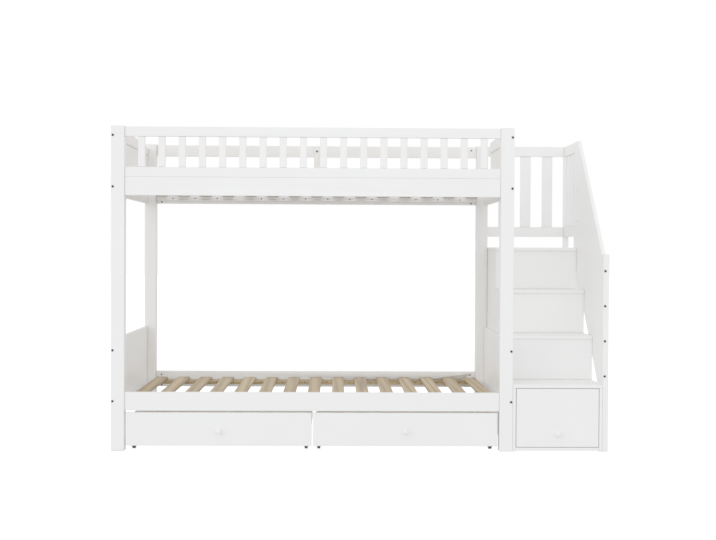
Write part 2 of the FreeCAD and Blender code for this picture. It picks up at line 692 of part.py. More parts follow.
# Slats and the ledgers that they rest on
for level, bottom in (("lower", LOWER_SLATS), ("upper", UPPER_SLATS)):
    slats = []
    for index in range(SLAT_COUNT):
        slats.append(block("%s_slat_%d" % (level, index),
                           (slat_start(index), add(FRONT_RAIL_BACK, "slat_play"), bottom),
                           ("slat_width", less(REAR_RAIL, FRONT_RAIL_BACK, "2 * slat_play"),
                            "slat_thickness")))
    slat_blanks = group(level + "_slat_blanks", slats)
    node(level + "_slats", cut(level + "_slats", slat_blanks, [SLAT_HOLES[level]]))
    ledgers = []
    ledger_tools = [SLAT_HOLES[level]]
    for end, place_y in (("front", FRONT_LEDGER), ("rear", REAR_LEDGER)):
        ledgers.append(block("%s_%s_ledger" % (level, end),
                             (LEDGER_START, place_y, less(bottom, "ledger_height")),
                             (LEDGER_LENGTH, "ledger_width", "ledger_height")))
        ledger_tools.append(LEDGER_HOLES[level, end])
    ledger_blanks = group(level + "_ledger_blanks", ledgers)
    node(level + "_ledgers", cut(level + "_ledgers", ledger_blanks, ledger_tools))

# Stair sides, stepped to carry the treads
STEPS = range(1, count_of("step_count") + 1)


def tread_top(step):
    return add("first_step_height", "%d * %s" % (step - 1, STEP_RISE))


def tread_under(step):
    return less(tread_top(step), "tread_thickness")


def riser_face(step):
    """Front face of the riser below a tread, from the second step on."""
    return add("first_step_depth", "%d * %s" % (step - 2, STEP_RUN))


def tread_front(step):
    return "0" if step == 1 else less(riser_face(step), "nosing")


def tread_back(step):
    return "bed_depth" if step == STEPS[-1] else add(riser_face(step + 1), "stair_board")


side_outline = [("0", "0"), ("0", tread_under(1))]
for step in STEPS[1:]:
    side_outline.append((tread_back(step - 1), tread_under(step - 1)))
    side_outline.append((tread_back(step - 1), tread_under(step)))
side_outline.append(("bed_depth", tread_under(STEPS[-1])))
side_outline.append(("bed_depth", "0"))
left_blank = outline_board("stair_left_blank", side_outline, STAIR_LEFT, "stair_board")
node("stair_left_side", cut("stair_left_side", left_blank, list(BED_LINKS.values())))
right_blank = outline_board("stair_right_blank", side_outline, STAIR_RIGHT_INNER, "stair_board")
node("stair_right_side", cut("stair_right_side", right_blank, list(STAIR_LINKS.values())))

# Treads, landing and risers
treads = []
risers = []
for step in STEPS:
    board = block("tread_%d" % step, (STAIR_LEFT, tread_front(step), tread_under(step)),
                  ("stair_width", less(tread_back(step), tread_front(step)), "tread_thickness"))
    if step == STEPS[-1]:
        node("stair_landing", board)
    else:
        treads.append(board)
    if step > 1:
        risers.append(block("riser_%d" % step, (STAIR_LEFT, riser_face(step), tread_top(step - 1)),
                            ("stair_width", "stair_board",
                             less(tread_under(step), tread_top(step - 1)))))
node("stair_treads", group("stair_treads", treads))
node("stair_risers", group("stair_risers", risers))

# Stair base board and back panel
STAIR_INNER_WIDTH = less("stair_width", "2 * stair_board")
STAIR_BACK = less("bed_depth", "back_thickness")
node("stair_base_board", block("stair_base_board", (STAIR_INNER, "0", "base_lift"),
                               (STAIR_INNER_WIDTH, STAIR_BACK, "stair_board")))
node("stair_back_panel", block("stair_back_panel", (STAIR_INNER, STAIR_BACK, "base_lift"),
                               (STAIR_INNER_WIDTH, "back_thickness",
                                less(LANDING_UNDER, "base_lift"))))

# Sloping guard panel between the front and the middle stair post
GUARD_FRONT_TOP = add("first_step_height", "guard_lift")
GUARD_TOP_PLACE = less(MIDDLE_POST, "guard_top_flat")
GUARD_SLOPE = "(%s / %s)" % (less("post_height", GUARD_FRONT_TOP),
                             less(GUARD_TOP_PLACE, "stair_post_depth"))
GUARD_LOW_PLACE = add("stair_post_depth", "guard_low_flat")
GUARD_REAR_LOW = add("first_step_height",
                     "%s * %s" % (less(MIDDLE_POST, GUARD_LOW_PLACE), GUARD_SLOPE))
GUARD_MIDDLE = add(STAIR_RIGHT, half("guard_thickness"))
guard_blank = outline_board("stair_guard_blank", [
    ("stair_post_depth", "first_step_height"),
    (GUARD_LOW_PLACE, "first_step_height"),
    (MIDDLE_POST, GUARD_REAR_LOW),
    (MIDDLE_POST, "post_height"),
    (GUARD_TOP_PLACE, "post_height"),
    ("stair_post_depth", GUARD_FRONT_TOP),
], STAIR_RIGHT, "guard_thickness")
STAIR_BOLT_SPAN = less("guard_lift", "stair_bolt_low", "stair_bolt_high")
STAIR_BOLT_PITCH = "(%s / (stair_bolt_count - 1))" % STAIR_BOLT_SPAN
front_guard_holes = []
for index in range(count_of("stair_bolt_count")):
    height = add("first_step_height", "stair_bolt_low", "%d * %s" % (index, STAIR_BOLT_PITCH))
    front_guard_holes += bolts.bolt((GUARD_MIDDLE, "0", height), "+Y",
                                    add("stair_post_depth", "panel_bolt_reach"))
FRONT_GUARD_HOLES = group("front_guard_holes", front_guard_holes)
MIDDLE_BOLT_TOP = less("post_height", "middle_bolt_drop")
middle_guard_holes = []
for height in (less(MIDDLE_BOLT_TOP, "middle_bolt_pitch"), MIDDLE_BOLT_TOP):
    middle_guard_holes += bolts.bolt((GUARD_MIDDLE, MIDDLE_POST_BACK, height), "-Y",
                                     add("stair_post_depth", "middle_nut_distance", "nut_radius"))
    nut_seat = (STAIR_RIGHT, less(MIDDLE_POST, "middle_nut_distance"), height)
    middle_guard_holes += nuts.barrel_nut(nut_seat, "+X", "guard_thickness", "+Y")
MIDDLE_GUARD_HOLES = group("middle_guard_holes", middle_guard_holes)
node("stair_guard_panel", cut("stair_guard_panel", guard_blank,
                              [FRONT_GUARD_HOLES, MIDDLE_GUARD_HOLES]))

# Stair posts
for post, start, top, tools in (
    ("front", "0", GUARD_FRONT_TOP, [STAIR_LINKS["front"], FRONT_GUARD_HOLES]),
    ("middle", MIDDLE_POST, "post_height", [STAIR_LINKS["middle"], MIDDLE_GUARD_HOLES]),
    ("rear", STAIR_REAR_POST, "post_height", [STAIR_LINKS["rear"]]),
):
    name = "stair_%s_post" % post
    blank = block(name + "_blank", (STAIR_RIGHT, start, "0"),
                  ("stair_post_width", "stair_post_depth", top))
    node(name, cut(name, blank, tools))

# Landing guards: rails at the back and at the side, with slats between them
LANDING_BOTTOM_RAIL = add(LANDING_TOP, "landing_rail_lift")
LANDING_SLAT_START = add(LANDING_BOTTOM_RAIL, "landing_rail_height")
LANDING_TOP_RAIL = less("post_height", "landing_rail_height")
LANDING_SLAT_HEIGHT = less(LANDING_TOP_RAIL, LANDING_SLAT_START)
REAR_GUARD = add(STAIR_REAR_POST, half(less("stair_post_depth", "rail_thickness")))
SIDE_GUARD = add(STAIR_RIGHT, half(less("stair_post_width", "rail_thickness")))
SLAT_INSET = half(less("rail_thickness", "landing_slat_thickness"))
for name, height in (("landing_bottom_rails", LANDING_BOTTOM_RAIL),
                     ("landing_top_rails", LANDING_TOP_RAIL)):
    rear_rail = block(name + "_rear", (STAIR_LEFT, REAR_GUARD, height),
                      ("stair_width", "rail_thickness", "landing_rail_height"))
    side_rail = block(name + "_side", (SIDE_GUARD, MIDDLE_POST_BACK, height),
                      ("rail_thickness", "side_guard_span", "landing_rail_height"))
    node(name, group(name, [rear_rail, side_rail]))


def slat_place(start, span, slat_count, index):
    """Start of one of several slats with even gaps along a span."""
    gap = "((%s - %s * landing_slat_width) / (%s + 1))" % (span, slat_count, slat_count)
    return add(start, gap, "%d * (landing_slat_width + %s)" % (index, gap))


rear_slats = []
for index in range(count_of("rear_slat_count")):
    along = slat_place(STAIR_LEFT, "stair_width", "rear_slat_count", index)
    rear_slats.append(block("rear_slat_%d" % index,
                            (along, add(REAR_GUARD, SLAT_INSET), LANDING_SLAT_START),
                            ("landing_slat_width", "landing_slat_thickness", LANDING_SLAT_HEIGHT)))
node("landing_rear_slats", group("landing_rear_slats", rear_slats))
side_slats = []
for index in range(count_of("side_slat_count")):
    along = slat_place(MIDDLE_POST_BACK, "side_guard_span", "side_slat_count", index)
    side_slats.append(block("side_slat_%d" % index,
                            (add(SIDE_GUARD, SLAT_INSET), along, LANDING_SLAT_START),
                            ("landing_slat_thickness", "landing_slat_width", LANDING_SLAT_HEIGHT)))
node("landing_side_slats", group("landing_side_slats", side_slats))


# Drawers
def drawer_box(name, start, front_back, bottom, width, depth, top):
    """Bottom, two sides and a back, as boards, behind a drawer front."""
    wall_bottom = add(bottom, "box_bottom")
    wall_height = less(top, wall_bottom)
    base = block(name + "_bottom", (start, front_back, bottom), (width, depth, "box_bottom"))
    walls = [base]
    for side, place_x in (("left", start), ("right", less(add(start, width), "box_board"))):
        walls.append(block("%s_%s_side" % (name, side), (place_x, front_back, wall_bottom),
                           ("box_board", depth, wall_height)))
    walls.append(block(name + "_back",
                       (add(start, "box_board"), less(add(front_back, depth), "box_board"),
                        wall_bottom),
                       (less(width, "2 * box_board"), "box_board", wall_height)))
    return group(name, walls)


def knob(name, along, face, height):
    """A round knob with a flattened head on a neck, in front of a face."""
    head_half = half("knob_head_depth")
    neck = rod(name + "_neck", (along, face, height), "-Y", "knob_neck_radius",
               less("knob_depth", head_half))
    head = doc.addObject("Part::Ellipsoid", name + "_head")
    bind(head, Radius1=head_half, Radius2="knob_radius", Radius3="knob_radius")
    place(head, (along, less(add(face, head_half), "knob_depth"), height), "-Y")
    return fused(name, [neck, head])


def castor_bracket(name, along, axle):
    """A plate with two cheeks and the axle riveted through them."""
    inner_width = add("wheel_width", "2 * wheel_side_gap")
    outer_width = add(inner_width, "2 * castor_sheet")
    cheek_bottom = less(AXLE_HEIGHT, "castor_cheek_drop")
    plate_bottom = less(CASTOR_TOP, "castor_sheet")
    pieces = [
        block(name + "_plate",
              (less(along, half("castor_plate_width")), less(axle, half("castor_length")),
               plate_bottom),
              ("castor_plate_width", "castor_length", "castor_sheet")),
        rod(name + "_axle", (less(along, half(outer_width)), axle, AXLE_HEIGHT), "+X",
            "axle_radius", outer_width),
    ]
    for side, place_x in (("left", less(along, half(outer_width))),
                          ("right", add(along, half(inner_width)))):
        pieces.append(block("%s_%s_cheek" % (name, side),
                            (place_x, less(axle, half("castor_cheek_length")), cheek_bottom),
                            ("castor_sheet", "castor_cheek_length",
                             less(plate_bottom, cheek_bottom))))
    return fused(name, pieces)


def castor_wheel(name, along, axle):
    start = (less(along, half("wheel_width")), axle, AXLE_HEIGHT)
    tread = rod(name + "_tread", start, "+X", "wheel_radius", "wheel_width")
    bore = rod(name + "_bore", start, "+X", add("axle_radius", "axle_play"), "wheel_width")
    return cut(name, tread, [bore])


def rolling_drawer(side, start):
    """An under-bed drawer: front, box, knob and four castors."""
    name = "%s_drawer" % side
    front_height = less("lower_rail_bottom", "drawer_top_gap", "drawer_lift")
    node(name + "_front", block(name + "_front", (start, "rail_setback", "drawer_lift"),
                                (DRAWER_WIDTH, "front_thickness", front_height)))
    box_width = less(DRAWER_WIDTH, "2 * drawer_box_inset")
    node(name + "_box", drawer_box(name + "_box", add(start, "drawer_box_inset"),
                                   DRAWER_FRONT_BACK, CASTOR_TOP, box_width,
                                   "drawer_box_depth",
                                   less("lower_rail_bottom", "drawer_box_drop")))
    node(name + "_knob", knob(name + "_knob", add(start, half(DRAWER_WIDTH)), "rail_setback",
                              add("drawer_lift", "knob_lift")))
    brackets = []
    for end, axle in (("front", add(DRAWER_FRONT_BACK, "castor_front")),
                      ("rear", less(add(DRAWER_FRONT_BACK, "drawer_box_depth"), "castor_rear"))):
        for hand, along in (("left", add(start, "castor_inset")),
                            ("right", less(add(start, DRAWER_WIDTH), "castor_inset"))):
            wheel = "%s_%s_%s_wheel" % (name, end, hand)
            brackets.append(castor_bracket("%s_%s_%s_castor" % (name, end, hand), along, axle))
            node(wheel, castor_wheel(wheel, along, axle))
    node(name + "_castors", group(name + "_castors", brackets))


rolling_drawer("left", add(LEFT_INNER, "drawer_side_gap"))
rolling_drawer("right", add(LEFT_INNER, "drawer_side_gap", DRAWER_WIDTH, "drawer_gap"))

STAIR_FRONT_START = add(STAIR_INNER, "stair_drawer_gap")
STAIR_FRONT_WIDTH = less(STAIR_INNER_WIDTH, "2 * stair_drawer_gap")
STAIR_FRONT_BOTTOM = add(BASE_TOP, "stair_drawer_gap")
node("stair_drawer_front", block(
    "stair_drawer_front", (STAIR_FRONT_START, "0", STAIR_FRONT_BOTTOM),
    (STAIR_FRONT_WIDTH, "front_thickness",
     less(tread_under(1), "stair_drawer_gap", STAIR_FRONT_BOTTOM))))
node("stair_drawer_box", drawer_box(
    "stair_drawer_box", add(STAIR_FRONT_START, "drawer_box_inset"), "front_thickness", BASE_TOP,
    less(STAIR_FRONT_WIDTH, "2 * drawer_box_inset"), "stair_box_depth",
    less(tread_under(1), "stair_box_drop")))
node("stair_drawer_knob", knob("stair_drawer_knob", add(STAIR_LEFT, half("stair_width")), "0",
                               add(STAIR_FRONT_BOTTOM, "stair_knob_lift")))

# Fasteners as groups of separate solids
node("connector_bolts", group("connector_bolts", bolts.solids))
node("barrel_nuts", group("barrel_nuts", nuts.solids))
node("wood_screws", group("wood_screws", screws.solids))

doc.recompute()
for obj in doc.Objects:
    if "Invalid" in obj.State or "Error" in obj.State:
        raise RuntimeError("%s did not build: %s" % (obj.Name, obj.State))
for name, obj in NODES.items():
    if obj.Shape.isNull() or not obj.Shape.isValid():
        raise RuntimeError("%s has no valid shape" % name)

os.makedirs("parts", exist_ok=True)
for name, obj in NODES.items():
    obj.Shape.exportStep("parts/%s.step" % name)
print("%d sub-parts written" % len(NODES))
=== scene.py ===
"""Looks of the staircase bunk bed: painted boards, pine slats and small steel pieces."""
import math

import bpy
from mathutils import Matrix, Vector


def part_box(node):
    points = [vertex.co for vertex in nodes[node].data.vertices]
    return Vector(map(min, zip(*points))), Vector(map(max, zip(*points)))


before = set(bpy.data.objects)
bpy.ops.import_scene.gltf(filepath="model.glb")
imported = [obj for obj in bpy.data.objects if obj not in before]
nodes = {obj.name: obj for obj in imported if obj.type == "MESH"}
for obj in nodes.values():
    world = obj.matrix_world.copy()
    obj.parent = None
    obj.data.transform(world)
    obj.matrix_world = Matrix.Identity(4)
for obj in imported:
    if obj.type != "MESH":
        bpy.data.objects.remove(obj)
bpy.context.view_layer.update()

# Which way a board's fibres run: few changes along the fibres and many across them, per metre
ALONG_BED = (4.0, 150.0, 150.0)
FRONT_TO_BACK = (150.0, 4.0, 150.0)
UPRIGHT = (150.0, 150.0, 4.0)

# White paint: fresh and dull coat, bands over the fibres, painted shade in the joints, rubbed
# arrises
PAINT_FRESH = (0.905, 0.906, 0.904, 1)
PAINT_DULL = (0.885, 0.885, 0.878, 1)
PAINT_BAND = (0.868, 0.864, 0.850, 1)
PAINT_SHADE_COLOUR = (0.330, 0.322, 0.308, 1)
PAINT_RUBBED = (0.742, 0.715, 0.660, 1)

# Pine: early wood, middle tone, late wood, browner slats, knots, painted shade in the joints and
# rubbed arrises
PINE_EARLY = (0.560, 0.418, 0.212, 1)
PINE_MIDDLE = (0.430, 0.300, 0.134, 1)
PINE_LATE = (0.235, 0.145, 0.058, 1)
PINE_BROWNER = (0.310, 0.212, 0.104, 1)
PINE_KNOT = (0.190, 0.105, 0.050, 1)
PINE_SHADE_COLOUR = (0.085, 0.058, 0.030, 1)
PINE_RUBBED = (0.610, 0.500, 0.350, 1)

# Steel and plastic, each with the tone of its rubbed edges
BLACK_OXIDE = (0.012, 0.012, 0.013, 1)
BLACK_OXIDE_RUBBED = (0.080, 0.077, 0.073, 1)
# Zinc darkened far below bright plating, as painted shade on the sunk screw heads and barrel nuts
ZINC_DARKENED_AS_SHADE = (0.120, 0.110, 0.097, 1)
ZINC_RUBBED = (0.330, 0.315, 0.290, 1)
CASTOR_PAINT = (0.040, 0.040, 0.042, 1)
CASTOR_RUBBED = (0.160, 0.156, 0.150, 1)
WHEEL_CLEAN = (0.014, 0.014, 0.015, 1)
WHEEL_DUSTY = (0.030, 0.029, 0.028, 1)
WHEEL_SCUFFED = (0.130, 0.125, 0.118, 1)

# How far wear reaches from an arris and painted shade from a joint, in metres
PAINT_WEAR_WIDTH = 0.004
PINE_WEAR_WIDTH = 0.003
STEEL_WEAR_WIDTH = 0.0012
WHEEL_WEAR_WIDTH = 0.0025
PAINT_SHADE_REACH = 0.006
PINE_SHADE_REACH = 0.03

# How much of the fibres shows through paint on solid wood and on smooth board
SOLID_PAINT = 0.8
SMOOTH_PAINT = 0.25

# Slats lie at an even pitch, so each one can have its own piece of wood
SLAT_COUNT = 15
SLAT_WIDTH = 0.065
slat_low, slat_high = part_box("lower_slats")
SLAT_PITCH = (slat_high.x - slat_low.x - SLAT_WIDTH) / (SLAT_COUNT - 1)
SLAT_START = slat_low.x - (SLAT_PITCH - SLAT_WIDTH) / 2

# One ledger lies in front of the bed's middle and one behind it, each of its own wood
LEDGER_PITCH = 0.5
LEDGER_START = -0.25


class Wiring:
    """Adds nodes to one node tree and wires them as they are added."""

    # The mix node's colour sockets share their names with its other sockets, so they go by number
    MIX_FACTOR = 0
    MIX_FIRST = 6
    MIX_SECOND = 7
    MIX_RESULT = 2

    def __init__(self, tree):
        self.tree = tree
        tree.nodes.clear()

    def feed(self, socket, value):
        """Give a socket a constant or another node's output."""
        if isinstance(value, bpy.types.NodeSocket):
            self.tree.links.new(value, socket)
        else:
            socket.default_value = value

    def add(self, kind, inputs=None, **settings):
        """A node with its settings; each input is a constant or another node's output."""
        node = self.tree.nodes.new(kind)
        for name, value in settings.items():
            setattr(node, name, value)
        for name, value in (inputs or {}).items():
            self.feed(node.inputs[name], value)
        return node

    def noise(self, vector, scale, detail=3.0, roughness=0.5, distortion=0.0):
        """Cloudy noise between 0 and 1."""
        return self.add("ShaderNodeTexNoise", {
            "Vector": vector, "Scale": scale, "Detail": detail, "Roughness": roughness,
            "Distortion": distortion,
        }).outputs["Fac"]

    def remap(self, value, low, high, start=0.0, end=1.0):
        """A value mapped from low and high to start and end, and kept between them."""
        return self.add("ShaderNodeMapRange", {
            "Value": value, "From Min": low, "From Max": high, "To Min": start, "To Max": end,
        }).outputs["Result"]

    def combine(self, operation, first, second=0.0):
        """Two values combined."""
        return self.add("ShaderNodeMath", {0: first, 1: second}, operation=operation).outputs[0]

    def times(self, value, share):
        """A value multiplied by another."""
        return self.combine("MULTIPLY", value, share)

    def combine_vectors(self, operation, first, second):
        """Two vectors combined."""
        node = self.add("ShaderNodeVectorMath", {0: first, 1: second}, operation=operation)
        return node.outputs["Value" if operation == "DOT_PRODUCT" else "Vector"]

    def scaled(self, place, scale):
        """A place multiplied by the same number along each axis."""
        return self.combine_vectors("MULTIPLY", place, (scale, scale, scale))

    def tint(self, factor, first, second):
        """One colour over another."""
        node = self.add("ShaderNodeMix", {
            self.MIX_FACTOR: factor, self.MIX_FIRST: first, self.MIX_SECOND: second,
        }, data_type="RGBA", blend_type="MIX")
        return node.outputs[self.MIX_RESULT]

    def ramp(self, factor, stops):
        """A run of colours, each at its place between 0 and 1."""
        node = self.add("ShaderNodeValToRGB", {"Fac": factor})
        elements = node.color_ramp.elements
        while len(elements) < len(stops):
            elements.new(0.5)
        for element, (position, colour) in zip(elements, stops):
            element.position = position
            element.color = colour
        return node.outputs["Color"]


def effect(name, inputs, outputs):
    """A new shader group with named sockets, its wiring, its input node and its output node."""
    tree = bpy.data.node_groups.new(name, "ShaderNodeTree")
    kinds = {"value": "NodeSocketFloat", "vector": "NodeSocketVector"}
    for socket, kind in inputs:
        tree.interface.new_socket(socket, in_out="INPUT", socket_type=kinds[kind])
    for socket in outputs:
        tree.interface.new_socket(socket, in_out="OUTPUT", socket_type=kinds["value"])
    wiring = Wiring(tree)
    given = wiring.add("NodeGroupInput").outputs
    result = wiring.add("NodeGroupOutput").inputs
    return tree, wiring, given, result


def board_fibre():
    """Fine fibre lines and broad bands that run along a board."""
    tree, wiring, given, result = effect(
        "board_fibre", [("Place", "vector"), ("Stretch", "vector")], ["Fibre", "Bands"])
    stretched = wiring.combine_vectors("MULTIPLY", given["Place"], given["Stretch"])
    fibre = wiring.noise(stretched, scale=3.0, detail=4.0, roughness=0.6, distortion=0.2)
    bands = wiring.noise(stretched, scale=0.22, detail=3.0, roughness=0.5, distortion=0.6)
    wiring.feed(result["Fibre"], fibre)
    wiring.feed(result["Bands"], bands)
    return tree


def worn_arris():
    """Where edges stand proud and get rubbed, broken up along their length."""
    tree, wiring, given, result = effect(
        "worn_arris", [("Place", "vector"), ("Width", "value")], ["Wear"])
    rounded = wiring.add("ShaderNodeBevel", {"Radius": given["Width"]}, samples=4).outputs["Normal"]
    flat = wiring.add("ShaderNodeNewGeometry").outputs["Normal"]
    lean = wiring.combine_vectors("DOT_PRODUCT", rounded, flat)
    edge = wiring.remap(lean, low=0.97, high=0.80)
    patches = wiring.noise(given["Place"], scale=26.0, detail=5.0, roughness=0.65)
    broken = wiring.remap(patches, low=0.42, high=0.66)
    wiring.feed(result["Wear"], wiring.times(edge, broken))
    return tree


def hand_marks():
    """Broad uneven tone of a used surface and the smaller smears that touch leaves."""
    tree, wiring, given, result = effect("hand_marks", [("Place", "vector")], ["Tone", "Smear"])
    broad = wiring.noise(given["Place"], scale=1.7, detail=3.0, roughness=0.5, distortion=0.4)
    small = wiring.noise(given["Place"], scale=9.0, detail=5.0, roughness=0.6, distortion=0.8)
    wiring.feed(result["Tone"], wiring.remap(broad, low=0.32, high=0.70))
    wiring.feed(result["Smear"], wiring.remap(small, low=0.40, high=0.72))
    return tree


def joint_shade():
    """Painted shade where boards meet: darker in corners and narrow gaps, in patches."""
    tree, wiring, given, result = effect(
        "joint_shade", [("Place", "vector"), ("Reach", "value")], ["Shade"])
    open_sky = wiring.add("ShaderNodeAmbientOcclusion", {"Distance": given["Reach"]}, samples=6)
    closed = wiring.remap(open_sky.outputs["AO"], low=0.85, high=0.45)
    patches = wiring.noise(given["Place"], scale=14.0, detail=4.0, roughness=0.6)
    patchy = wiring.remap(patches, low=0.30, high=0.70, start=0.65, end=1.0)
    wiring.feed(result["Shade"], wiring.times(closed, patchy))
    return tree


def roller_stipple():
    """The fine pebbled skin that a paint roller leaves."""
    tree, wiring, given, result = effect("roller_stipple", [("Place", "vector")], ["Stipple"])
    coarse = wiring.noise(given["Place"], scale=190.0, detail=2.0)
    fine = wiring.noise(given["Place"], scale=520.0, detail=2.0)
    both = wiring.combine("ADD", wiring.times(coarse, share=0.7), wiring.times(fine, share=0.3))
    wiring.feed(result["Stipple"], both)
    return tree


FIBRE = board_fibre()
ARRIS = worn_arris()
MARKS = hand_marks()
STIPPLE = roller_stipple()
SHADE = joint_shade()


def new_material(name):
    """An empty material, its wiring, its surface's inputs and the place on the object."""
    material = bpy.data.materials.new(name)
    material.use_nodes = True
    wiring = Wiring(material.node_tree)
    shader = wiring.add("ShaderNodeBsdfPrincipled")
    wiring.add("ShaderNodeOutputMaterial", {"Surface": shader.outputs["BSDF"]})
    place = wiring.add("ShaderNodeTexCoord").outputs["Object"]
    return material, wiring, shader.inputs, place


def use(wiring, group, **inputs):
    """A shared effect placed in a material."""
    return wiring.add("ShaderNodeGroup", inputs, node_tree=group).outputs


def relief(wiring, surface, height, strength, depth):
    """Fine relief on a surface, its depth in metres."""
    bump = wiring.add("ShaderNodeBump", {
        "Strength": strength, "Distance": depth, "Height": height})
    wiring.feed(surface["Normal"], bump.outputs["Normal"])


def white_paint(name, stretch, fibre_share):
    """Satin white paint on wood, with the fibres below it showing a little."""
    material, wiring, surface, place = new_material(name)
    fibre = use(wiring, FIBRE, Place=place, Stretch=stretch)
    wear = use(wiring, ARRIS, Place=place, Width=PAINT_WEAR_WIDTH)["Wear"]
    marks = use(wiring, MARKS, Place=place)
    stipple = use(wiring, STIPPLE, Place=place)["Stipple"]
    shade = use(wiring, SHADE, Place=place, Reach=PAINT_SHADE_REACH)["Shade"]
    coat = wiring.tint(marks["Tone"], PAINT_FRESH, PAINT_DULL)
    band = wiring.remap(fibre["Bands"], low=0.35, high=0.75, start=0.0, end=0.35)
    banded = wiring.tint(band, coat, PAINT_BAND)
    # Painted shade: the paint darkens in corners and narrow gaps where boards meet
    with_painted_shade = wiring.tint(wiring.times(shade, share=0.60), banded, PAINT_SHADE_COLOUR)
    worn = wiring.tint(wiring.times(wear, share=0.35), with_painted_shade, PAINT_RUBBED)
    wiring.feed(surface["Base Color"], worn)
    rough = wiring.remap(fibre["Bands"], low=0.3, high=0.7, start=0.36, end=0.44)
    polished = wiring.combine("SUBTRACT", rough, wiring.times(marks["Smear"], share=0.07))
    scuffed = wiring.combine("ADD", polished, wiring.times(wear, share=0.15))
    wiring.feed(surface["Roughness"], scuffed)
    height = wiring.combine("ADD", wiring.times(fibre["Fibre"], share=fibre_share),
                            wiring.times(stipple, share=0.5))
    relief(wiring, surface, height, strength=0.22, depth=0.0006)
    return material


def bare_pine(name, stretch, across, start, pitch):
    """Unpainted pine: growth lines, small knots and each slat a little different."""
    material, wiring, surface, place = new_material(name)
    distance = wiring.add("ShaderNodeSeparateXYZ", {"Vector": place}).outputs[across]
    count = wiring.combine("DIVIDE", wiring.combine("SUBTRACT", distance, start), pitch)
    slat = wiring.combine("FLOOR", count)
    own = wiring.add("ShaderNodeTexWhiteNoise", {"W": slat}, noise_dimensions="1D").outputs
    moved = wiring.combine_vectors("ADD", place, wiring.scaled(own["Color"], scale=7.0))
    fibre = use(wiring, FIBRE, Place=moved, Stretch=stretch)
    marks = use(wiring, MARKS, Place=moved)
    wear = use(wiring, ARRIS, Place=moved, Width=PINE_WEAR_WIDTH)["Wear"]
    shade = use(wiring, SHADE, Place=moved, Reach=PINE_SHADE_REACH)["Shade"]
    ring_stretch = tuple(0.1 * step for step in stretch)
    rings = wiring.add("ShaderNodeTexWave", {
        "Vector": wiring.combine_vectors("MULTIPLY", moved, ring_stretch),
        "Scale": 0.9, "Distortion": 5.0, "Detail": 3.0, "Detail Scale": 0.6,
    }, wave_type="BANDS", bands_direction="DIAGONAL").outputs["Fac"]
    knot_stretch = tuple(0.5 + 0.07 * step for step in stretch)
    knot_distance = wiring.add("ShaderNodeTexVoronoi", {
        "Vector": wiring.combine_vectors("MULTIPLY", moved, knot_stretch),
        "Scale": 0.55, "Randomness": 1.0,
    }).outputs["Distance"]
    knots = wiring.remap(knot_distance, low=0.17, high=0.05)
    grain = wiring.combine("ADD", wiring.times(rings, share=0.55),
                           wiring.times(fibre["Fibre"], share=0.45))
    wood = wiring.ramp(grain, [(0.15, PINE_EARLY), (0.55, PINE_MIDDLE), (0.95, PINE_LATE)])
    toned = wiring.tint(wiring.times(own["Value"], share=0.50), wood, PINE_BROWNER)
    knotted = wiring.tint(wiring.times(knots, share=0.75), toned, PINE_KNOT)
    # Painted shade: the pine darkens in corners and narrow gaps, such as the ledgers between the
    # slats
    with_painted_shade = wiring.tint(wiring.times(shade, share=0.75), knotted, PINE_SHADE_COLOUR)
    worn = wiring.tint(wiring.times(wear, share=0.4), with_painted_shade, PINE_RUBBED)
    wiring.feed(surface["Base Color"], worn)
    rough = wiring.remap(fibre["Bands"], low=0.3, high=0.7, start=0.58, end=0.72)
    polished = wiring.combine("SUBTRACT", rough, wiring.times(marks["Smear"], share=0.08))
    wiring.feed(surface["Roughness"], polished)
    height = wiring.combine("SUBTRACT", fibre["Fibre"], wiring.times(rings, share=0.4))
    relief(wiring, surface, height, strength=0.35, depth=0.0008)
    return material


def plated_steel(name, plate, rubbed_plate, roughness, metal):
    """Plated or blackened steel, brighter where edges are rubbed."""
    dull_share = 0.72
    smear_roughness = 0.16
    material, wiring, surface, place = new_material(name)
    marks = use(wiring, MARKS, Place=wiring.scaled(place, scale=12.0))
    wear = use(wiring, ARRIS, Place=wiring.scaled(place, scale=9.0),
               Width=STEEL_WEAR_WIDTH)["Wear"]
    dull_plate = tuple(dull_share * part for part in plate[:3]) + (1,)
    skin = wiring.tint(marks["Tone"], plate, dull_plate)
    wiring.feed(surface["Base Color"], wiring.tint(wear, skin, rubbed_plate))
    wiring.feed(surface["Metallic"], metal)
    smeared = wiring.remap(marks["Smear"], low=0.0, high=1.0,
                           start=roughness, end=roughness + smear_roughness)
    wiring.feed(surface["Roughness"], smeared)
    grit = wiring.noise(place, scale=900.0, detail=2.0)
    relief(wiring, surface, grit, strength=0.12, depth=0.0003)
    return material


def wheel_plastic(name):
    """Dark moulded wheels, dusty and scuffed on the tread."""
    material, wiring, surface, place = new_material(name)
    marks = use(wiring, MARKS, Place=wiring.scaled(place, scale=8.0))
    wear = use(wiring, ARRIS, Place=wiring.scaled(place, scale=6.0),
               Width=WHEEL_WEAR_WIDTH)["Wear"]
    skin = wiring.tint(marks["Tone"], WHEEL_CLEAN, WHEEL_DUSTY)
    scuffed = wiring.tint(wiring.times(wear, share=0.6), skin, WHEEL_SCUFFED)
    wiring.feed(surface["Base Color"], scuffed)
    smeared = wiring.remap(marks["Smear"], low=0.0, high=1.0, start=0.42, end=0.62)
    wiring.feed(surface["Roughness"], smeared)
    grit = wiring.noise(place, scale=700.0, detail=3.0, roughness=0.6)
    relief(wiring, surface, grit, strength=0.15, depth=0.0004)
    return material


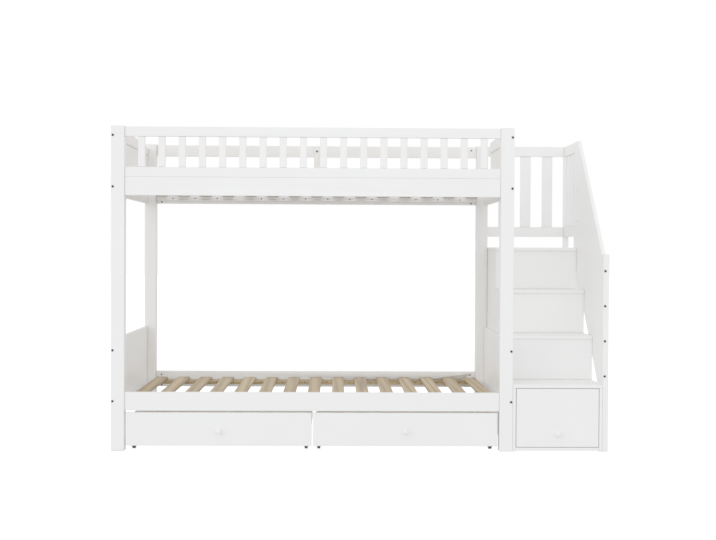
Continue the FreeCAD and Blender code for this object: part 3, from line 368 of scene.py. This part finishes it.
FINISHES = {
    "paint_along": white_paint("white_paint_along", ALONG_BED, SOLID_PAINT),
    "paint_upright": white_paint("white_paint_upright", UPRIGHT, SOLID_PAINT),
    "paint_deep": white_paint("white_paint_deep", FRONT_TO_BACK, SOLID_PAINT),
    "paint_board_along": white_paint("white_board_along", ALONG_BED, SMOOTH_PAINT),
    "paint_board_upright": white_paint("white_board_upright", UPRIGHT, SMOOTH_PAINT),
    "paint_board_deep": white_paint("white_board_deep", FRONT_TO_BACK, SMOOTH_PAINT),
    "slat_pine": bare_pine("slat_pine", FRONT_TO_BACK, "X", SLAT_START, SLAT_PITCH),
    "ledger_pine": bare_pine("ledger_pine", ALONG_BED, "Y", LEDGER_START, LEDGER_PITCH),
    "black_steel": plated_steel("black_bolt_steel", BLACK_OXIDE, BLACK_OXIDE_RUBBED,
                                roughness=0.36, metal=0.6),
    "zinc_steel": plated_steel("zinc_steel", ZINC_DARKENED_AS_SHADE, ZINC_RUBBED, roughness=0.42, metal=0.85),
    "castor_steel": plated_steel("castor_steel", CASTOR_PAINT, CASTOR_RUBBED,
                                 roughness=0.38, metal=0.6),
    "wheel_plastic": wheel_plastic("castor_wheel_plastic"),
}


def finish_of(name):
    """The finish of a node by its name."""
    if name in ("lower_slats", "upper_slats"):
        return "slat_pine"
    if name == "lower_ledgers":
        return "ledger_pine"
    if name == "connector_bolts":
        return "black_steel"
    if name in ("barrel_nuts", "wood_screws"):
        return "zinc_steel"
    if name.endswith("_castors"):
        return "castor_steel"
    if name.endswith("_wheel"):
        return "wheel_plastic"
    if "end_panel" in name:
        return "paint_board_deep"
    if "end_cap" in name:
        return "paint_deep"
    if name in ("stair_left_side", "stair_right_side", "stair_back_panel", "stair_guard_panel"):
        return "paint_board_upright"
    if name in ("stair_treads", "stair_landing", "stair_risers", "stair_base_board"):
        return "paint_board_along"
    if name.endswith(("_front", "_box")):
        return "paint_board_along"
    if name.endswith(("_post", "_upright", "_balusters", "_slats", "_knob")):
        return "paint_upright"
    return "paint_along"


# Arrises are eased by hand, more on solid wood than on board, in metres
EASED = {
    "paint_along": 0.0018,
    "paint_upright": 0.0032,
    "paint_deep": 0.0030,
    "paint_board_along": 0.0014,
    "paint_board_upright": 0.0022,
    "paint_board_deep": 0.0014,
    "slat_pine": 0.0015,
    "ledger_pine": 0.0015,
    "wheel_plastic": 0.0018,
}
EASED_SEGMENTS = 3
# Turned knobs are round already, and the boards inside a drawer keep sharp edges
LEFT_SHARP = ("_knob", "_box")
# Shorter edges belong to bolt holes and screw holes, and smaller folds to flat faces
SHORTEST_ARRIS = 0.008
SMALLEST_FOLD = math.radians(40)
# Corners this close together are one corner, and facets this level are one face
CORNER_GAP = 0.00002
LEVEL_FOLD = math.radians(1.0)


def long_arrises():
    """A modifier tree that marks long edges for the bevel and leaves the rims of holes sharp."""
    tree = bpy.data.node_groups.new("long_arrises", "GeometryNodeTree")
    for way in ("INPUT", "OUTPUT"):
        tree.interface.new_socket("Geometry", in_out=way, socket_type="NodeSocketGeometry")
    wiring = Wiring(tree)
    given = wiring.add("NodeGroupInput").outputs["Geometry"]
    ends = wiring.add("GeometryNodeInputMeshEdgeVertices").outputs
    length = wiring.add("ShaderNodeVectorMath", {0: ends["Position 1"], 1: ends["Position 2"]},
                        operation="DISTANCE").outputs["Value"]
    fold = wiring.add("GeometryNodeInputMeshEdgeAngle").outputs["Unsigned Angle"]
    arris = wiring.times(wiring.combine("GREATER_THAN", length, SHORTEST_ARRIS),
                         wiring.combine("GREATER_THAN", fold, SMALLEST_FOLD))
    marked = wiring.add("GeometryNodeStoreNamedAttribute", {
        "Geometry": given, "Name": "bevel_weight_edge", "Value": arris,
    }, data_type="FLOAT", domain="EDGE").outputs["Geometry"]
    wiring.add("NodeGroupOutput", {"Geometry": marked})
    return tree


LONG_ARRISES = long_arrises()


def ease_edges(piece, width):
    """Round the long arrises of one node, its facets first joined into whole faces."""
    weld = piece.modifiers.new("join_facets", "WELD")
    weld.merge_threshold = CORNER_GAP
    faces = piece.modifiers.new("whole_faces", "DECIMATE")
    faces.decimate_type = "DISSOLVE"
    faces.angle_limit = LEVEL_FOLD
    marks = piece.modifiers.new("long_arrises", "NODES")
    marks.node_group = LONG_ARRISES
    bevel = piece.modifiers.new("eased_edges", "BEVEL")
    bevel.width = width
    bevel.segments = EASED_SEGMENTS
    bevel.limit_method = "WEIGHT"
    bevel.use_clamp_overlap = True
    bevel.loop_slide = False
    bevel.harden_normals = True


for name, piece in nodes.items():
    finish = finish_of(name)
    piece.data.materials.clear()
    piece.data.materials.append(FINISHES[finish])
    if finish in EASED and not name.endswith(LEFT_SHARP):
        ease_edges(piece, EASED[finish])

# Floor: pale and plain, just below the feet, and white to the camera
WHITE = (1, 1, 1, 1)
FLOOR_REACH = 40.0
FLOOR_DROP = 0.0005
FLOOR_PALE = (0.400, 0.400, 0.400, 1)
FLOOR_DULL = (0.385, 0.385, 0.385, 1)
FLOOR_ROUGHNESS = 0.75
FLOOR_LIGHT = 0.25
FLOOR_SEEN_LIGHT = 0.90


def pale_floor():
    """The floor under the bed."""
    material, wiring, surface, place = new_material("pale_floor")
    marks = use(wiring, MARKS, Place=place)
    wiring.feed(surface["Base Color"], wiring.tint(marks["Tone"], FLOOR_PALE, FLOOR_DULL))
    wiring.feed(surface["Roughness"], FLOOR_ROUGHNESS)
    wiring.feed(surface["Emission Color"], WHITE)
    seen = wiring.add("ShaderNodeLightPath").outputs["Is Camera Ray"]
    glow = wiring.remap(seen, low=0.0, high=1.0, start=FLOOR_LIGHT, end=FLOOR_SEEN_LIGHT)
    wiring.feed(surface["Emission Strength"], glow)
    corners = [(FLOOR_REACH * x, FLOOR_REACH * y, 0)
               for x, y in ((-1, -1), (1, -1), (1, 1), (-1, 1))]
    mesh = bpy.data.meshes.new("floor")
    mesh.from_pydata(corners, [], [(0, 1, 2, 3)])
    mesh.materials.append(material)
    floor = bpy.data.objects.new("floor", mesh)
    floor.location.z = -FLOOR_DROP
    bpy.context.scene.collection.objects.link(floor)


pale_floor()

# Studio: an even white room, and soft lamps far off at the left, high up and in front
ROOM_COLOUR = (0.985, 0.992, 1.0, 1)
ROOM_LIGHT = 0.86
ROOM_SEEN_LIGHT = 1.0
LAMPS = (
    # name, place, aim, width, power, colour
    ("left_lamp", (-26.0, -21.0, 10.0), (0.5, 0.0, 0.8), 16.0, 1000.0, (1.0, 1.0, 1.0)),
    ("high_lamp", (-15.0, -16.0, 26.0), (0.0, 0.0, 0.8), 3.6, 150.0, (1.0, 0.995, 0.985)),
    ("front_lamp", (-0.4, -36.0, 4.5), (0.0, 0.0, 0.8), 8.0, 830.0, (1.0, 1.0, 1.0)),
)


def white_room():
    """Light from all around, seen as plain white behind the bed."""
    world = bpy.data.worlds.new("white_room")
    world.use_nodes = True
    wiring = Wiring(world.node_tree)
    light = wiring.add("ShaderNodeBackground", {"Color": ROOM_COLOUR, "Strength": ROOM_LIGHT})
    backdrop = wiring.add("ShaderNodeBackground", {"Color": WHITE, "Strength": ROOM_SEEN_LIGHT})
    seen = wiring.add("ShaderNodeLightPath").outputs["Is Camera Ray"]
    both = wiring.add("ShaderNodeMixShader", {
        0: seen, 1: light.outputs["Background"], 2: backdrop.outputs["Background"]})
    wiring.add("ShaderNodeOutputWorld", {"Surface": both.outputs["Shader"]})
    bpy.context.scene.world = world


def soft_lamp(name, place, aim, width, power, colour):
    """A round lamp turned towards its aim."""
    lamp = bpy.data.lights.new(name, "AREA")
    lamp.shape = "DISK"
    lamp.size = width
    lamp.energy = power
    lamp.color = colour
    holder = bpy.data.objects.new(name, lamp)
    holder.location = place
    holder.rotation_mode = "QUATERNION"
    holder.rotation_quaternion = (Vector(aim) - Vector(place)).to_track_quat("-Z", "Y")
    bpy.context.scene.collection.objects.link(holder)


white_room()
for lamp in LAMPS:
    soft_lamp(*lamp)

# Camera: where the photograph was taken from
CAMERA_PLACE = Vector((-0.1220, -6.35755, 1.0095))
CAMERA_YAW = math.radians(1.049)
CAMERA_PITCH = math.radians(0.949)
CAMERA_ROLL = math.radians(0.279)
CAMERA_LENS = 58.43
CAMERA_SENSOR = 36.0
CAMERA_SIGHT = 200.0


def photo_camera():
    """The camera at the photograph's place, turned as it was."""
    forward = Vector((math.sin(CAMERA_YAW) * math.cos(CAMERA_PITCH),
                      math.cos(CAMERA_YAW) * math.cos(CAMERA_PITCH), -math.sin(CAMERA_PITCH)))
    level = Vector((math.cos(CAMERA_YAW), -math.sin(CAMERA_YAW), 0))
    above = level.cross(forward)
    right = math.cos(CAMERA_ROLL) * level + math.sin(CAMERA_ROLL) * above
    up = math.cos(CAMERA_ROLL) * above - math.sin(CAMERA_ROLL) * level
    turn = Matrix((right, up, -forward)).transposed()
    lens = bpy.data.cameras.new("camera")
    lens.sensor_width = CAMERA_SENSOR
    lens.lens = CAMERA_LENS
    lens.clip_end = CAMERA_SIGHT
    camera = bpy.data.objects.new("camera", lens)
    camera.matrix_world = Matrix.Translation(CAMERA_PLACE) @ turn.to_4x4()
    bpy.context.scene.collection.objects.link(camera)
    bpy.context.scene.camera = camera


photo_camera()

# The photograph's pale tones, and white boards that pass light on many times before it fades
PHOTO_GAMMA = 1.55
LIGHT_BOUNCES = 16
WHITE_BOARD_BOUNCES = 12
scene = bpy.context.scene
scene.view_settings.view_transform = "Standard"
scene.view_settings.gamma = PHOTO_GAMMA
scene.cycles.max_bounces = LIGHT_BOUNCES
scene.cycles.diffuse_bounces = WHITE_BOARD_BOUNCES
